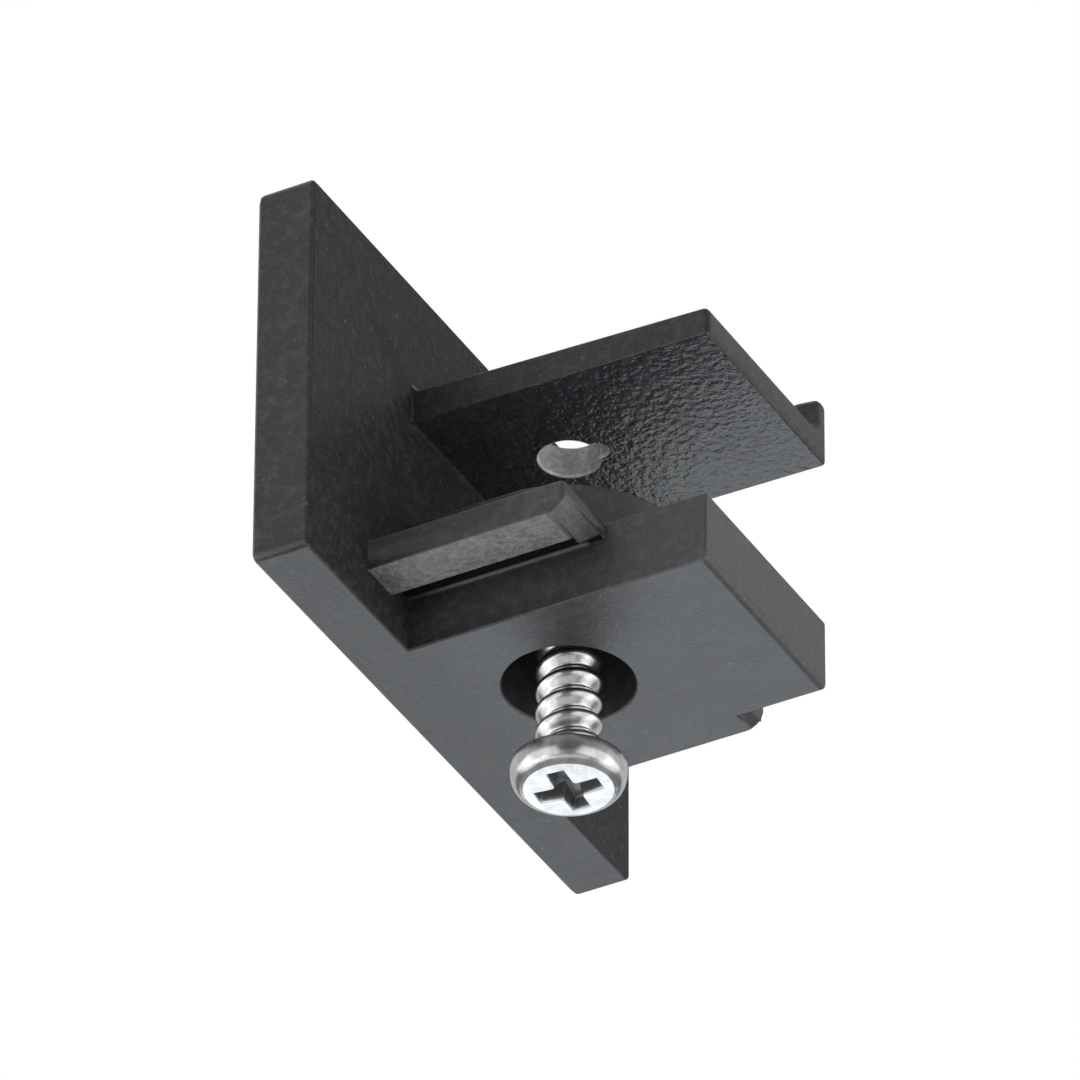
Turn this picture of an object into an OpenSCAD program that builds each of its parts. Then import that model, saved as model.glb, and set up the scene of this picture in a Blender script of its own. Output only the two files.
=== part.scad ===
// End cap for an extruded lighting track: one moulding and its fixing screw.
// Units are millimetres. The inner face of the closing plate lies in x = 0 and
// the cap goes into the track toward +x. z = 0 is the underside, y = 0 the middle.

/* [Closing plate] */
// width across the track
plate_w = 35; // [30:0.5:42]
// height
plate_h = 23.5; // [22:0.5:30]
// thickness
plate_t = 3.25; // [2:0.25:6]
// radius of the four corners
plate_r = 0.4; // [0.3:0.1:3]
// bevel round the outer face
plate_bevel = 0.2; // [0.1:0.1:1]

/* [Lower block] */
// reach into the track
block_l = 17.4; // [15:0.1:26]
// width of the block and the tongue
block_w = 13.3; // [12:0.1:16]
// height
block_h = 4.2; // [4:0.1:6]
// height of the rounded boss above the underside
boss_h = 8.1; // [7:0.1:10]

/* [Side flanges] */
// width over both flanges
flange_w = 22.2; // [20:0.2:28]
// reach into the track
flange_l = 11.5; // [9:0.1:14]
// level of the flange undersides
flange_z = 2.35; // [1.5:0.05:2.6]
// width of the groove beside the block
groove_w = 1.8; // [1:0.1:2.4]
// level of the groove floor
groove_z = 3.25; // [3:0.05:3.5]
// fillet between the groove floor and the block
groove_r = 0.25; // [0.1:0.05:0.4]
// thickness of the wall that ends the groove
groove_end = 0.9; // [0.7:0.1:1.5]
// width of the mouth left between that wall and the block
mouth_w = 0.4; // [0.2:0.1:0.8]
// radius of the upright corner at the free end
flange_r = 0.3; // [0.2:0.1:1]
// radius of the lead-in under the free end
lead_r = 1.1; // [0.3:0.1:1.3]

/* [Tongue] */
// reach into the track
tongue_l = 17.6; // [15:0.1:26]
// level of the underside at the plate
tongue_z = 14.6; // [13:0.1:16]
// thickness at the plate
tongue_t = 2.0; // [1.6:0.1:3]
// thickness at the free end
tongue_tip_t = 1.7; // [1.2:0.1:2]
// fall of the underside along its length
tongue_fall = 0.3; // [0:0.05:0.6]
// radius where the top runs into the plate
tongue_root_r = 0.8; // [0.4:0.1:1.5]
// radius where the underside runs into the plate
tongue_under_r = 0.3; // [0.2:0.05:0.8]
// thickness of the key rib on the far edge
key_t = 0.95; // [0.8:0.05:1.4]
// height of the key rib above the tongue at the plate
key_h = 1.65; // [1.2:0.05:2.5]
// fillet between the tongue and the key rib
key_r = 0.6; // [0.3:0.1:0.8]

/* [Screw hole] */
// distance of the axis from the plate
hole_x = 5.8; // [5.5:0.1:8]
// diameter of the counterbore
cbore_d = 7; // [6.6:0.1:8]
// depth of the counterbore
cbore_depth = 4.2; // [3.2:0.1:5]
// diameter of the thread hole
thread_hole_d = 3.6; // [3.5:0.05:3.8]
// diameter of the clearance hole in the tongue
tongue_hole_d = 3.2; // [3:0.1:4]
// radius of the notch in that hole
notch_r = 0.6; // [0.4:0.1:0.8]

/* [Screw] */
// diameter over the thread, drawn as a plain shank
screw_d = 3.5; // [3:0.05:3.5]
// length under the head
screw_l = 13; // [12:0.5:14]
// length of the point
point_l = 2.6; // [1.5:0.1:3]
// gap between the block and the head
head_gap = 5.05; // [4.8:0.05:5.6]
// head diameter
head_d = 6.1; // [5.5:0.1:6.4]
// head height
head_h = 1.75; // [1.4:0.05:2.4]
// height of the head's straight rim
head_rim = 0.4; // [0.2:0.05:0.6]
// diameter of the head's flat face
head_flat = 4.2; // [3.4:0.1:4.6]
// span of the cross recess
recess_w = 3.4; // [2.6:0.1:3.6]
// width of a recess arm
recess_arm = 0.85; // [0.6:0.05:1]
// depth of the cross recess
recess_depth = 1.2; // [0.8:0.05:1.4]
// turn of the cross about the axis
recess_turn = 17; // [0:1:89]

/* [Hidden] */
$fn = 48;
eps = 0.01;
far = 60;
hw = block_w / 2;
fw = flange_w / 2;
seat_z = -head_gap;
tip_z = seat_z + screw_l;
tongue_top = tongue_z + tongue_t;
tongue_end_z = tongue_z - tongue_fall;
tongue_end_top = tongue_end_z + tongue_tip_t;
tongue_slope = atan((tongue_top - tongue_end_top) / tongue_l);
key_z = tongue_top + key_h;
thread_l = screw_l - point_l;

cap_body();
fixing_screw();

// The whole plastic moulding.
module cap_body() {
    color([0.07, 0.07, 0.08])
    difference() {
        union() {
            plate();
            block();
            flange();
            mirror([0, 1, 0]) flange();
            tongue();
        }
        screw_holes();
    }
}

// Plate that closes the track, its outer face bevelled all round.
module plate() {
    hull() {
        plate_slab(-plate_t + plate_bevel, plate_t - plate_bevel, 0);
        plate_slab(-plate_t, plate_bevel, plate_bevel);
    }
}

// Slab with rounded corners from x0 over thickness t, drawn in by inset.
module plate_slab(x0, t, inset) {
    w = plate_w - 2 * inset;
    h = plate_h - 2 * inset;
    r = plate_r;
    translate([x0, 0, plate_h / 2])
    rotate([90, 0, 90])
    linear_extrude(t)
    offset(r)
    square([w - 2 * r, h - 2 * r], center = true);
}

// Flat block with the rounded boss that carries the screw.
module block() {
    translate([-eps, -hw, 0]) cube([block_l + eps, block_w, block_h]);
    translate([-eps, -hw, 0]) cube([hole_x + eps, block_w, boss_h]);
    translate([hole_x, 0, 0]) cylinder(h = boss_h, r = hw, $fn = 96);
}

// Flange on the far side, hollowed by a groove beside the block.
module flange() {
    difference() {
        translate([-eps, hw - eps, flange_z])
        linear_extrude(block_h - flange_z)
        flange_plan();
        translate([-2 * eps, hw, flange_z - eps])
        cube([flange_l - groove_end + 2 * eps, groove_w, groove_z - flange_z + eps]);
        groove_mouth();
        lead_in();
    }
    groove_fillet();
}

// Plan of the flange with its free corner rounded.
module flange_plan() {
    l = flange_l + eps;
    w = fw - hw + eps;
    square([l - flange_r, w]);
    square([l, w - flange_r]);
    translate([l - flange_r, w - flange_r]) circle(flange_r);
}

// Slot and chamfer between the wall that ends the groove and the block.
module groove_mouth() {
    d = groove_z - flange_z;
    translate([flange_l - groove_end - eps, hw, flange_z - eps])
    rotate([90, 0, 90])
    linear_extrude(groove_end + 3 * eps)
    polygon([[0, 0], [mouth_w + d, 0], [mouth_w, d + eps], [0, d + eps]]);
}

// Rounding taken off the lower edge of the free end.
module lead_in() {
    r = lead_r;
    translate([flange_l - r, fw + eps, flange_z])
    rotate([90, 0, 0])
    linear_extrude(fw - hw + 3 * eps)
    difference() {
        translate([0, -eps]) square([r + eps, r + eps]);
        translate([0, r]) circle(r);
    }
}

// Fillet along the block's side at the groove floor.
module groove_fillet() {
    translate([-eps, hw - eps, groove_z - groove_r])
    rotate([90, 0, 90])
    linear_extrude(flange_l - groove_end + 2 * eps)
    difference() {
        square(groove_r + eps);
        translate([groove_r + eps, 0]) circle(groove_r);
    }
}

// Upper tongue, thinner toward its free end, with the key rib on one edge.
module tongue() {
    translate([0, hw, 0])
    rotate([90, 0, 0])
    linear_extrude(block_w)
    polygon([
        [-eps, tongue_z],
        [tongue_l, tongue_end_z],
        [tongue_l, tongue_end_top],
        [0, tongue_top],
        [-eps, tongue_top]
    ]);
    tongue_root(tongue_top - 0.1, tongue_root_r);
    mirror([0, 0, 1]) tongue_root(-tongue_z - eps, tongue_under_r);
    key_rib();
}

// Concave fillet of radius r where the face at level z meets the plate.
module tongue_root(z, r) {
    translate([-eps, hw, z])
    rotate([90, 0, 0])
    linear_extrude(block_w)
    difference() {
        square([r, r]);
        translate([r, r]) circle(r);
    }
}

// Rib along the tongue's far edge, its top eased at the free end.
module key_rib() {
    translate([0, hw, 0])
    rotate([90, 0, 0])
    linear_extrude(key_t)
    polygon([
        [-eps, tongue_z + eps],
        [tongue_l, tongue_end_z + eps],
        [tongue_l, key_z - 0.15],
        [tongue_l - 1.2, key_z],
        [-eps, key_z]
    ]);
    intersection() {
        translate([-eps, 0, tongue_end_z]) cube([tongue_l + eps, hw, key_z]);
        translate([0, hw - key_t, tongue_top])
        rotate([0, tongue_slope, 0])
        translate([-1, 0, 0])
        rotate([90, 0, 90])
        linear_extrude(tongue_l + 2)
        difference() {
            translate([-key_r, -0.1]) square([key_r + eps, key_r + 0.1]);
            translate([-key_r, key_r]) circle(key_r);
        }
    }
}

// Counterbore, thread hole and the clearance hole in the tongue.
module screw_holes() {
    translate([hole_x, 0, -eps]) cylinder(h = cbore_depth + eps, d = cbore_d, $fn = 96);
    translate([hole_x, 0, 0]) cylinder(h = boss_h + eps, d = thread_hole_d);
    translate([hole_x, 0, boss_h + 1]) cylinder(h = far, d = tongue_hole_d);
    translate([hole_x + tongue_hole_d / 2, 0, boss_h + 1]) cylinder(h = far, r = notch_r);
}

// Self-tapping screw, head down, half driven into the boss.
module fixing_screw() {
    color([0.8, 0.8, 0.82])
    translate([hole_x, 0, 0])
    difference() {
        rotate_extrude($fn = 72)
        polygon([
            [0, seat_z - head_h],
            [head_flat / 2, seat_z - head_h + 0.2],
            [head_d / 2 - 0.25, seat_z - head_rim - 0.35],
            [head_d / 2, seat_z - head_rim],
            [head_d / 2, seat_z],
            [screw_d / 2, seat_z],
            [screw_d / 2, seat_z + thread_l],
            [0.2, tip_z - 0.2],
            [0, tip_z]
        ]);
        cross_recess();
    }
}

// Cross recess sunk into the head's lower face.
module cross_recess() {
    z = seat_z - head_h - eps;
    depth = recess_depth + eps;
    arm = recess_w / 2;
    for (a = [0, 90]) {
        rotate(recess_turn + a)
        translate([0, 0, z])
        intersection() {
            translate([-arm, -recess_arm / 2, 0]) cube([2 * arm, recess_arm, depth]);
            cylinder(h = depth, r1 = arm, r2 = arm * 0.6);
        }
    }
    translate([0, 0, z]) cylinder(h = depth, r1 = recess_arm * 0.9, r2 = recess_arm * 0.5);
}
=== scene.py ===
import math

import bmesh
import bpy
import numpy as np
from mathutils import Matrix, Vector


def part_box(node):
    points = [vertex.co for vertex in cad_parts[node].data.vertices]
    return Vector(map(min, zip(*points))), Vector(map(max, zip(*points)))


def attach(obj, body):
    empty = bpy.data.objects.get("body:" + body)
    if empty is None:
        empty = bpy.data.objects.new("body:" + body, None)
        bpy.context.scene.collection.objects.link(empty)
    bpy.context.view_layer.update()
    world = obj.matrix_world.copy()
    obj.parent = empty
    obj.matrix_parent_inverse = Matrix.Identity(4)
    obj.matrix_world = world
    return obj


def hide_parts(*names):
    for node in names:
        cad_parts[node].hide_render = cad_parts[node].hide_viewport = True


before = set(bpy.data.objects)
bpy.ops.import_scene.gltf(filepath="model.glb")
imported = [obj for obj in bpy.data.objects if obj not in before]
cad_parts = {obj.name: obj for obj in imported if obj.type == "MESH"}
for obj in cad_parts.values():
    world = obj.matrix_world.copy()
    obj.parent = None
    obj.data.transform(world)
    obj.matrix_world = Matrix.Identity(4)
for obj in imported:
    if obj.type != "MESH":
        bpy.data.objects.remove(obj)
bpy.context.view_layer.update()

scene = bpy.context.scene
scene.view_settings.view_transform = "Standard"

# ---------------------------------------------------------------- camera
# The cap is seen from below and from the side of its screw, with the closing
# plate on the left. The lens is long, so upright edges stay almost parallel.
eye = Vector((0.264638, -0.476959, -0.380258))
aim = Vector((0.004918, -0.001563, 0.008587))
roll = Matrix.Rotation(math.radians(0.2172), 3, "Z")

camera = bpy.data.objects.new("camera", bpy.data.cameras.new("camera"))
camera.data.sensor_width = 36
camera.data.lens = 425.9
camera.data.clip_start = 0.01
camera.data.clip_end = 20
camera.location = eye
camera.rotation_mode = "QUATERNION"
camera.rotation_quaternion = (aim - eye).to_track_quat("-Z", "Y") @ roll.to_quaternion()
scene.collection.objects.link(camera)
scene.camera = camera


# ---------------------------------------------------------------- light
# A light tent, bright behind the cap and dim around the camera. Soft panels beside
# the lens and over the cap light it, low ones reach its undersides, and the cards
# at its sides are mirrored in the screw.
class Socket:
    """A shader value. Operators add Math nodes, so a formula is written as one."""

    def __init__(self, tree, link):
        self.tree, self.link = tree, link

    def math(self, operation, *values):
        return node(self.tree, "ShaderNodeMath", {"operation": operation},
                    dict(enumerate(values)))

    def __add__(self, other):
        return self.math("ADD", self, other)

    def __radd__(self, other):
        return self.math("ADD", other, self)

    def __sub__(self, other):
        return self.math("SUBTRACT", self, other)

    def __rsub__(self, other):
        return self.math("SUBTRACT", other, self)

    def __mul__(self, other):
        return self.math("MULTIPLY", self, other)

    def __rmul__(self, other):
        return self.math("MULTIPLY", other, self)

    def clamped(self, low, high):
        """0 below low, 1 above high, an S-shaped step between."""
        return node(self.tree, "ShaderNodeMapRange", {"interpolation_type": "SMOOTHSTEP"},
                    {"Value": self, "From Min": low, "From Max": high})


def node(tree, kind, settings=None, values=None, output=0):
    """Adds one node: its settings first, then its sockets, and gives the chosen output."""
    made = tree.nodes.new(kind)
    for name, value in (settings or {}).items():
        setattr(made, name, value)
    for name, value in (values or {}).items():
        if isinstance(value, Socket):
            tree.links.new(value.link, made.inputs[name])
        else:
            made.inputs[name].default_value = value
    return Socket(tree, made.outputs[output]) if made.outputs else None


back = (eye - aim).normalized()
right = Vector((0, 0, 1)).cross(back).normalized()

world = bpy.data.worlds.new("light_tent")
scene.world = world
world.use_nodes = True
tree = world.node_tree
tree.nodes.clear()
direction = node(tree, "ShaderNodeTexCoord", output="Generated")
away = node(tree, "ShaderNodeVectorMath", {"operation": "DOT_PRODUCT"},
            {0: direction, 1: tuple(-back)}, output="Value")
tent = 0.07 + 0.54 * away.clamped(-0.88, 0.45)
seen = node(tree, "ShaderNodeLightPath", output="Is Camera Ray")
background = node(tree, "ShaderNodeBackground",
                  values={"Color": (1, 1, 1, 1), "Strength": seen + (1 - seen) * tent})
node(tree, "ShaderNodeOutputWorld", values={"Surface": background})

# Each panel has its distance from the cap, its direction, width, height, glow and colour.
# A glow of 1 is as bright as white paper in the tent: the power is glow times pi times
# the area. The camera doesn't see the panels.
white = (1, 1, 1)
cool = (0.95, 1.0, 1.04)
for name, distance, toward, width, height, glow, colour in (
        ("panel_left", 0.55, back * 0.62 - right * 0.78 + Vector((0, 0, 0.13)),
         0.80, 0.50, 0.90, white),
        ("panel_right", 0.55, back * 0.62 + right * 0.78 + Vector((0, 0, 0.13)),
         0.80, 0.50, 0.90, white),
        ("panel_left_low", 0.50, Vector((-0.39, -0.58, -0.71)), 0.26, 0.26, 0.90, white),
        ("panel_low", 0.42, Vector((-0.39, 0.71, -0.58)), 0.30, 0.30, 1.40, cool),
        ("panel_front_low", 0.44, Vector((0.24, -0.44, -0.87)), 0.50, 0.20, 0.40, white),
        ("card_left", 0.55, back * -0.10 - right * 0.85 + Vector((0, 0, -0.45)),
         0.34, 0.60, 0.95, white),
        ("card_right", 0.55, back * -0.10 + right * 0.85 + Vector((0, 0, -0.45)),
         0.34, 0.60, 0.85, white),
        ("panel_top", 0.70, Vector((-0.20, -0.30, 0.93)), 0.40, 0.40, 0.80, white)):
    data = bpy.data.lights.new(name, "AREA")
    data.shape = "RECTANGLE"
    data.size, data.size_y = width, height
    data.energy = glow * math.pi * width * height
    data.color = colour
    lamp = bpy.data.objects.new(name, data)
    lamp.location = aim + distance * toward
    lamp.rotation_mode = "QUATERNION"
    lamp.rotation_quaternion = toward.to_track_quat("Z", "Y")
    lamp.visible_camera = False
    scene.collection.objects.link(lamp)


# ---------------------------------------------------------------- floor
# A plain pale sheet lies well below the cap. The camera sees it as white, and
# it gives its soft reflected light to every underside.
def sheet_mesh(name, half, height, cells=8):
    """Square grid of points at one height, from -half to half both ways."""
    side = np.linspace(-half, half, cells + 1)
    x, y = np.meshgrid(side, side, indexing="ij")
    points = np.stack([x, y, np.full_like(x, height)], -1).reshape(-1, 3)
    row = cells + 1
    corner = (np.arange(cells)[:, None] * row + np.arange(cells)).ravel()
    faces = np.stack([corner, corner + row, corner + row + 1, corner + 1], -1)
    mesh = bpy.data.meshes.new(name)
    mesh.from_pydata(points.tolist(), [], faces.tolist())
    return mesh


def blank_material(name):
    """New material and its node tree, still without nodes."""
    material = bpy.data.materials.new(name)
    material.use_nodes = True
    material.node_tree.nodes.clear()
    return material, material.node_tree


floor = bpy.data.objects.new("floor", sheet_mesh("floor", half=3.0, height=-0.46))
scene.collection.objects.link(floor)
paper, tree = blank_material("pale_paper")
seen = node(tree, "ShaderNodeLightPath", output="Is Camera Ray")
matt = node(tree, "ShaderNodeBsdfDiffuse", values={"Color": (0.34, 0.34, 0.34, 1)})
shining = node(tree, "ShaderNodeEmission", values={"Color": (1, 1, 1, 1), "Strength": 1.0})
surface = node(tree, "ShaderNodeMixShader", values={0: seen * 0.96, 1: matt, 2: shining})
node(tree, "ShaderNodeOutputMaterial", values={"Surface": surface})
floor.data.materials.append(paper)


# ---------------------------------------------------------------- moulding
# Closing plate, block, flanges and tongue are one moulding of black plastic. Its
# mould is spark-eroded, which leaves a fine grain, and a coarse one under the
# tongue. The insert slides into the track, and the screw in its boss fixes it.
def merged_copy(name, source):
    """Copy of a CAD mesh with its doubled points merged and its flat faces made whole."""
    mesh = source.data.copy()
    mesh.name = name
    made = bpy.data.objects.new(name, mesh)
    scene.collection.objects.link(made)
    shape = bmesh.new()
    shape.from_mesh(mesh)
    bmesh.ops.remove_doubles(shape, verts=shape.verts, dist=1e-7)
    bmesh.ops.dissolve_limit(shape, angle_limit=math.radians(0.2),
                             verts=shape.verts, edges=shape.edges)
    shape.to_mesh(mesh)
    shape.free()
    return made


def face_arrays(mesh):
    """Normal, middle and area of every face, and the face that each corner belongs to."""
    count = len(mesh.polygons)
    normal, centre = np.empty(count * 3), np.empty(count * 3)
    area, total = np.empty(count), np.empty(count, int)
    for values, name in ((normal, "normal"), (centre, "center"),
                         (area, "area"), (total, "loop_total")):
        mesh.polygons.foreach_get(name, values)
    return (normal.reshape(-1, 3), centre.reshape(-1, 3), area,
            np.repeat(np.arange(count), total))


def proud_edges(mesh, least_turn, least_width, crease_turn):
    """Edges where two faces meet in an outer corner: along the edge, in the first face's own
    direction, the cross product of the two normals points forward. The faces turn by more
    than least_turn degrees, and neither is narrower than least_width, its area through its
    longest edge. Gives their indexes, both normals and their middles, then the indexes of
    all other edges that turn by more than crease_turn degrees."""
    normal, _, area, loop_face = face_arrays(mesh)
    loop_edge, loop_point = np.empty(len(mesh.loops), int), np.empty(len(mesh.loops), int)
    mesh.loops.foreach_get("edge_index", loop_edge)
    mesh.loops.foreach_get("vertex_index", loop_point)
    ends = np.empty(len(mesh.edges) * 2, int)
    mesh.edges.foreach_get("vertices", ends)
    points = np.empty(len(mesh.vertices) * 3)
    mesh.vertices.foreach_get("co", points)
    ends, points = ends.reshape(-1, 2), points.reshape(-1, 3)

    length = np.linalg.norm(points[ends[:, 1]] - points[ends[:, 0]], axis=1)
    longest = np.zeros(len(area))
    np.maximum.at(longest, loop_face, length[loop_edge])
    width = area / longest

    order = np.argsort(loop_edge, kind="stable")
    edges, first, uses = np.unique(loop_edge[order], return_index=True, return_counts=True)
    edges, first = edges[uses == 2], first[uses == 2]
    a, b = loop_face[order][first], loop_face[order][first + 1]
    start = loop_point[order][first]
    along = points[ends[edges].sum(1) - start] - points[start]

    outward = (np.cross(normal[a], normal[b]) * along).sum(1) > 0
    likeness = (normal[a] * normal[b]).sum(1)
    wide = (width[a] > least_width) & (width[b] > least_width)
    chosen = outward & wide & (likeness < math.cos(math.radians(least_turn)))
    creased = ~chosen & (likeness < math.cos(math.radians(crease_turn)))
    return (edges[chosen], normal[a][chosen], normal[b][chosen],
            points[ends[edges]].mean(1)[chosen], edges[creased])


cap = merged_copy("cap_moulding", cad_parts["cap_body"])
hole_x = 0.0058  # axis of the screw holes
flange_z, groove_z = 0.00235, 0.00325  # undersides of the flanges and of their grooves
tongue_z, rib_z = 0.0135, 0.0180  # tongue and rib, and the plate behind them, lie above
block_end, tongue_end = 0.0165, 0.0175  # their free ends lie past these

# Every outer edge is rounded by a share of the width given below: the lower edge of the
# block's end most, and the lower edges of all sides least.
edges, side_a, side_b, middle, creases = proud_edges(
    cap.data, least_turn=50, least_width=0.00002, crease_turn=25)
x, y, z = middle.T
downward = np.minimum(side_a[:, 2], side_b[:, 2]) < -0.9
inward = np.maximum(side_a[:, 0], side_b[:, 0]) > 0.9
nearward = np.maximum(np.abs(side_a[:, 1]), np.abs(side_b[:, 1])) > 0.99
on_rib = (z > rib_z) & (x > 0.001)
on_hole = (z > tongue_z) & (z < 0.0148) & (np.hypot(x - hole_x, y) < 0.0026)
shares = np.full(len(edges), 0.29)
shares[downward & nearward] = 0.22
shares[downward & inward & (x > block_end)] = 1.0
shares[(x > tongue_end) | on_rib] = 0.72
for name, chosen in (("rounding", ~on_hole), ("hole_rim", on_hole)):
    weight = np.zeros(len(cap.data.edges))
    weight[edges[chosen]] = shares[chosen]
    cap.data.attributes.new(name, "FLOAT", "EDGE").data.foreach_set("value", weight)
sharp = np.zeros(len(cap.data.edges), bool)
sharp[creases] = True
cap.data.shade_smooth()
cap.data.attributes.new("sharp_edge", "BOOLEAN", "EDGE").data.foreach_set("value", sharp)


def noise(place, scale, detail, roughness=0.5):
    """Noise between 0 and 1 at a place, of so many cells in a metre."""
    return node(place.tree, "ShaderNodeTexNoise", values={
        "Vector": place, "Scale": scale, "Detail": detail, "Roughness": roughness})


def mixed_colour(share, first, second, blend="MIX"):
    """The first colour where share is 0, and the second mixed in or added as it nears 1."""
    return node(share.tree, "ShaderNodeMix", {"data_type": "RGBA", "blend_type": blend},
                {0: share, 6: first, 7: second}, output=2)


def plastic(name, colour, rough, grain, pit, shine=1.0, specks=0.0, paler=0.0):
    """Moulded plastic with a spark-eroded grain: pit is the size of a pit in metres, and
    grain its depth as a share of that size. Slow clouds lie over it. specks is the paleness
    of the few specks of dust in the grain, and 0.30 of it that of a thin patchy film. paler
    is added to the colour past the plate: painted light, which lifts the insert above the
    plate."""
    material, tree = blank_material(name)
    place = node(tree, "ShaderNodeTexCoord", output="Object")
    coarse, small = noise(place, 1 / pit, 1.0), noise(place, 2.7 / pit, 1.0)
    broad, film = noise(place, 420, 3.0, 0.6), noise(place, 1500, 3.0, 0.7)
    dust = noise(place, 3300, 0.0)
    bump = node(tree, "ShaderNodeBump", values={
        "Height": coarse * 0.75 + small * 0.25, "Strength": 1.0, "Distance": grain * pit})

    dark, pale = (tuple(c * level for c in colour) + (1,) for level in (0.75, 1.25))
    tint = mixed_colour((coarse * 0.6 + broad * 0.4).clamped(0.35, 0.65), dark, pale)
    dusty = dust.clamped(0.80, 0.86) * specks + film.clamped(0.46, 0.68) * (0.30 * specks)
    tint = mixed_colour(dusty, tint, (0.5, 0.5, 0.52, 1))
    # Painted light: past the plate the colour is made paler.
    if paler:
        x = node(tree, "ShaderNodeSeparateXYZ", values={0: place}, output="X")
        painted_light_tint = (paler * 0.95, paler, paler * 1.06, 1)
        tint = mixed_colour(x.clamped(-0.001, 0.004), tint, painted_light_tint, "ADD")
    roughness = rough + 0.14 * (broad - 0.5) + 0.16 * (film - 0.5)
    shader = node(tree, "ShaderNodeBsdfPrincipled", values={
        "Base Color": tint, "Roughness": roughness, "Specular IOR Level": shine,
        "Normal": bump})
    node(tree, "ShaderNodeOutputMaterial", values={"Surface": shader})
    return material


# The name, colour, roughness, grain, pit, shine, specks and paler of each finish. The
# finish of a face follows from where it lies and which way it faces.
cap.data.materials.clear()
for look in (
        ("fine_grained_black_plastic", (0.019, 0.0215, 0.0245),
         0.40, 0.12, 0.00022, 0.75, 0.18, 0.030),
        ("coarse_grained_black_plastic", (0.044, 0.047, 0.053), 0.27, 0.25, 0.00042, 0.68),
        ("drawn_pale_plastic", (0.46, 0.46, 0.47), 0.35, 0.10, 0.00030),
        ("dull_black_plastic", (0.033, 0.0345, 0.037), 0.50, 0.10, 0.00024, 0.10, 0.18),
        ("scuffed_plastic", (0.20, 0.20, 0.205), 0.50, 0.45, 0.00036, 0.8, 0.5),
        ("satin_black_plastic", (0.033, 0.0345, 0.037), 0.42, 0.12, 0.00022, 0.50, 0.18),
        ("worn_black_plastic", (0.12, 0.12, 0.123), 0.50, 0.12, 0.00022, 0.75),
        ("pale_rim_plastic", (0.80, 0.80, 0.81), 0.35, 0.10, 0.00030),
        ("deep_black_plastic", (0.010, 0.0105, 0.011), 0.50, 0.10, 0.00024, 0.10)):
    cap.data.materials.append(plastic(*look))
FINE, COARSE, LIT_HOLE_WALL, DULL, SCUFFED_AND_LIT, SATIN, LIT_LEAD_IN, HIGHLIGHT_RIM, SHADED_GROOVE = range(9)

normal, centre, _, _ = face_arrays(cap.data)
x, y, z = centre.T
near = 0.0001  # a face this near a level lies on it
downface = normal[:, 2] < -0.95
upright = np.abs(normal[:, 2]) < 0.2
on_tongue = z > tongue_z
hole_wall = on_tongue & upright & (np.hypot(x - hole_x, y) < 0.0024)
root_fillet = on_tongue & (z < 0.0150) & (x > 0) & (x < 0.0004)
lead_in = ((normal[:, 2] < -0.05) & (normal[:, 0] > 0.05) & (x > 0.0103) & (x < 0.0116)
           & (z > 0.0023) & (z < 0.0036))
finish = np.full(len(x), FINE)
finish[downface & on_tongue] = COARSE
# The screw hole's wall is made pale: painted light, the brightness seen inside the hole.
finish[hole_wall] = LIT_HOLE_WALL
finish[(normal[:, 0] > 0.99) & (np.abs(x) < near)] = DULL
# The near flange's underside is pale and rough: partly its own scuffed surface, partly
# painted light.
finish[downface & (np.abs(z - flange_z) < near) & (y < 0)] = SCUFFED_AND_LIT
finish[on_tongue & (finish == FINE) & (x > near)] = SATIN
finish[root_fillet] = DULL
# The grooves' floors are made darker and duller: painted shade deep in the grooves.
finish[downface & (np.abs(z - groove_z) < near)] = SHADED_GROOVE
# The rounded lead-in at the near flange's end is made paler: painted light.
finish[lead_in & (y < -0.0066)] = LIT_LEAD_IN
cap.data.polygons.foreach_set("material_index", finish)

# The rounding of the screw hole's rim takes the near-white plastic: a painted highlight.
for name, width, slot in (("hole_rim", 0.00040, HIGHLIGHT_RIM), ("rounding", 0.00044, -1)):
    bevel = cap.modifiers.new(name, "BEVEL")
    bevel.limit_method = "WEIGHT"
    bevel.edge_weight = name
    bevel.width = width
    bevel.segments = 3
    bevel.material = slot
    bevel.use_clamp_overlap = False
even = cap.modifiers.new("even", "WEIGHTED_NORMAL")
even.keep_sharp = True
even.weight = 100
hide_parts("cap_body")
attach(cap, "root")


# ---------------------------------------------------------------- fixing screw
# A bright self-tapping screw of hardened steel: a pan head pressed with a cross
# recess, and a thread rolled on its shank. It is half driven into the boss.
low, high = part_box("fixing_screw")
axis_x, axis_y = (low.x + high.x) / 2, (low.y + high.y) / 2
seat, tip = -0.00505, high.z  # the flat side of the head, and the end of the point


def eased(values):
    """S-shaped step: 3 v squared less 2 v cubed, with v held between 0 and 1."""
    v = np.clip(values, 0, 1)
    return v * v * (3 - 2 * v)


def shank_points(sectors=96, step=0.00005):
    """Threaded shank. At turn t and height z the radius is the core plus the ridge's height
    times a rounded wave of (z / pitch - t / one turn). The ridge runs in under the head, and
    the radius shrinks to nothing along the point. The first ring lies in the head, and the
    last one just short of the tip, so that it keeps some width."""
    pitch, crest, core, run_in, point = 0.00130, 0.00175, 0.00128, 0.0006, 0.0026
    z = np.arange(seat - 0.0001, tip, step)
    z[-1] = tip - 0.00001
    t = np.linspace(0, 2 * math.pi, sectors, endpoint=False)
    zz, tt = np.meshgrid(z, t, indexing="ij")
    wave = 0.5 + 0.5 * np.cos(2 * math.pi * (zz / pitch - tt / (2 * math.pi)))
    ridge = (crest - core) * wave ** 0.65 * eased((zz - seat) / run_in)
    radius = (core + ridge) * np.clip((tip - zz) / point, 0, 1) ** 0.8
    return np.stack([axis_x + radius * np.cos(tt), axis_y + radius * np.sin(tt), zz], -1)


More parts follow.
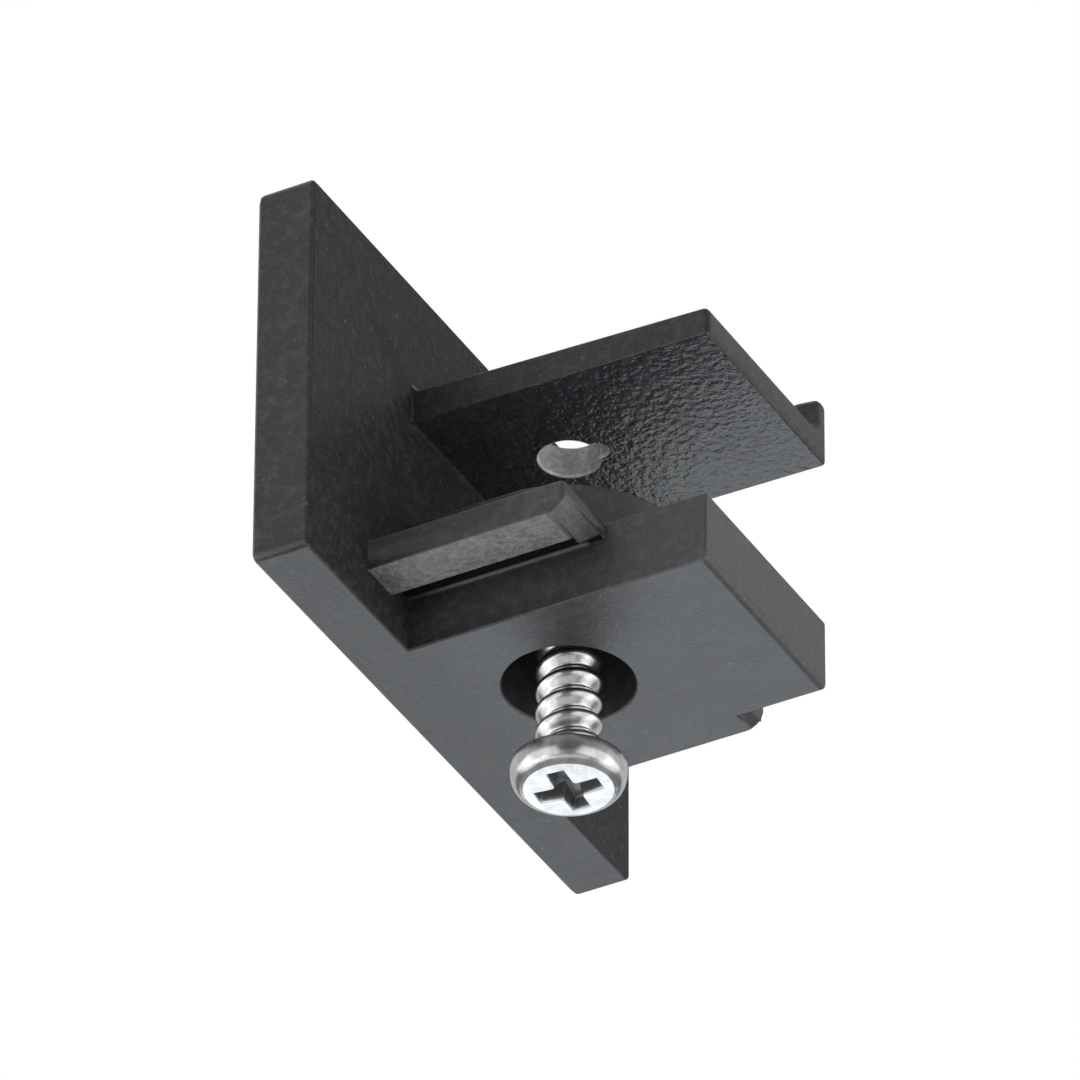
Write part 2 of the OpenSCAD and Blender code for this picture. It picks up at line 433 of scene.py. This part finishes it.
def recess_depth(x, y):
    """Depth of the cross recess at a place on the head's face: two crossed arms that grow
    narrower and shallower outward, and a round well. An S-shaped step over the distance
    inside each outline gives their steep walls."""
    turn, depth = math.radians(5), 0.00115
    reach, half_arm, arm_wall = 0.00180, 0.00058, 0.00022
    well_radius, well_wall = 0.00085, 0.00030
    u = math.cos(turn) * x + math.sin(turn) * y
    v = math.cos(turn) * y - math.sin(turn) * x
    sunk = eased((well_radius - np.hypot(x, y)) / well_wall) * depth
    for p, q in ((u, v), (v, u)):
        inside = np.minimum(half_arm - 0.05 * np.abs(p) - np.abs(q), reach - np.abs(p))
        sunk = np.maximum(sunk, eased(inside / arm_wall) * (depth - 0.25 * np.abs(p)))
    return sunk


def head_points(sectors=288):
    """Pan head. Its outline, in millimetres from the axis and the seat, runs from the shank
    out under the head, round the rim, down a domed flank whose radius falls with the cosine
    of its angle, and in over the slightly domed face, which sinks by the recess's depth."""
    under = np.array([[1.20, 0.0], [2.90, 0.0], [2.98, -0.02],
                      [3.03, -0.07], [3.05, -0.14], [3.05, -0.34]])
    turn = np.linspace(0, 1, 28)[1:]
    flank_r = 2.42 + 0.63 * np.cos(turn * 1.25) ** 0.9 - 0.22 * turn ** 4
    flank_z = -0.34 - 1.14 * np.sin(turn * 1.25) / np.sin(1.25)
    face_r = np.linspace(flank_r[-1] - 0.06, 0.02, 110)
    face_z = -1.505 - 0.17 * (1 - (face_r / flank_r[-1]) ** 2)
    outline = np.concatenate([under, np.stack([flank_r, flank_z], -1),
                              np.stack([face_r, face_z], -1)]) / 1000
    t = np.linspace(0, 2 * math.pi, sectors, endpoint=False)
    radius, tt = np.meshgrid(outline[:, 0], t, indexing="ij")
    x, y = radius * np.cos(tt), radius * np.sin(tt)
    height = np.repeat(outline[:, 1][:, None], sectors, 1)
    face = slice(-len(face_r), None)
    height[face] += recess_depth(x[face], y[face])
    return np.stack([axis_x + x, axis_y + y, seat + height], -1)


def closed_mesh(name, grids):
    """Joins rings of points into closed skins. Four-sided faces go round and along each
    grid, and a fan to its middle point closes each end ring."""
    points, faces, base = [], [], 0
    for grid in grids:
        rings, sectors = grid.shape[:2]
        index = base + np.arange(rings * sectors).reshape(rings, sectors)
        after = np.roll(index, -1, axis=1)
        quads = np.stack([index[:-1], after[:-1], after[1:], index[1:]], -1).reshape(-1, 4)
        last_middle = np.full(sectors, base + rings * sectors)
        last_fan = np.stack([index[-1], after[-1], last_middle], -1)
        first_fan = np.stack([after[0], index[0], last_middle + 1], -1)
        points += [grid.reshape(-1, 3), grid[-1].mean(0)[None], grid[0].mean(0)[None]]
        faces += quads.tolist() + last_fan.tolist() + first_fan.tolist()
        base += rings * sectors + 2
    mesh = bpy.data.meshes.new(name)
    mesh.from_pydata(np.concatenate(points).tolist(), [], faces)
    return mesh


# The head's rings go round the other way, because they run down where the shank's run up.
screw_mesh = closed_mesh("fixing_screw_steel", [shank_points(), head_points()[:, ::-1]])
screw = bpy.data.objects.new("fixing_screw_steel", screw_mesh)
scene.collection.objects.link(screw)
screw.data.shade_smooth()

steel, tree = blank_material("bright_screw_steel")
place = node(tree, "ShaderNodeTexCoord", output="Object")
cloud, speck = noise(place, 1500, 3.0, 0.6), noise(place, 7000, 2.0, 0.6)
tint = mixed_colour(cloud.clamped(0.35, 0.65), (0.56, 0.56, 0.575, 1), (0.70, 0.70, 0.71, 1))

# The recess is darker, with painted shade, and duller: what is near the axis, above the face
# and in the head.
z = node(tree, "ShaderNodeSeparateXYZ", values={0: place}, output="Z")
flat = node(tree, "ShaderNodeVectorMath", {"operation": "MULTIPLY"}, {0: place, 1: (1, 1, 0)})
radius = node(tree, "ShaderNodeVectorMath", {"operation": "DISTANCE"},
              {0: flat, 1: (axis_x, axis_y, 0)}, output="Value")
above_face = z.clamped(seat - 0.00160, seat - 0.00125)
in_head = 1 - z.clamped(seat - 0.0003, seat - 0.0001)
in_recess = (1 - radius.clamped(0.0018, 0.0021)) * above_face * in_head
tint = mixed_colour(in_recess * 0.65, tint, (0.16, 0.155, 0.15, 1))
bump = node(tree, "ShaderNodeBump",
            values={"Height": speck, "Strength": 0.35, "Distance": 0.000006})
shader = node(tree, "ShaderNodeBsdfPrincipled", values={
    "Base Color": tint, "Metallic": 1.0,
    "Roughness": 0.17 + 0.14 * cloud + 0.15 * in_recess, "Normal": bump})
node(tree, "ShaderNodeOutputMaterial", values={"Surface": shader})
screw.data.materials.append(steel)
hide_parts("fixing_screw")
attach(screw, "root")
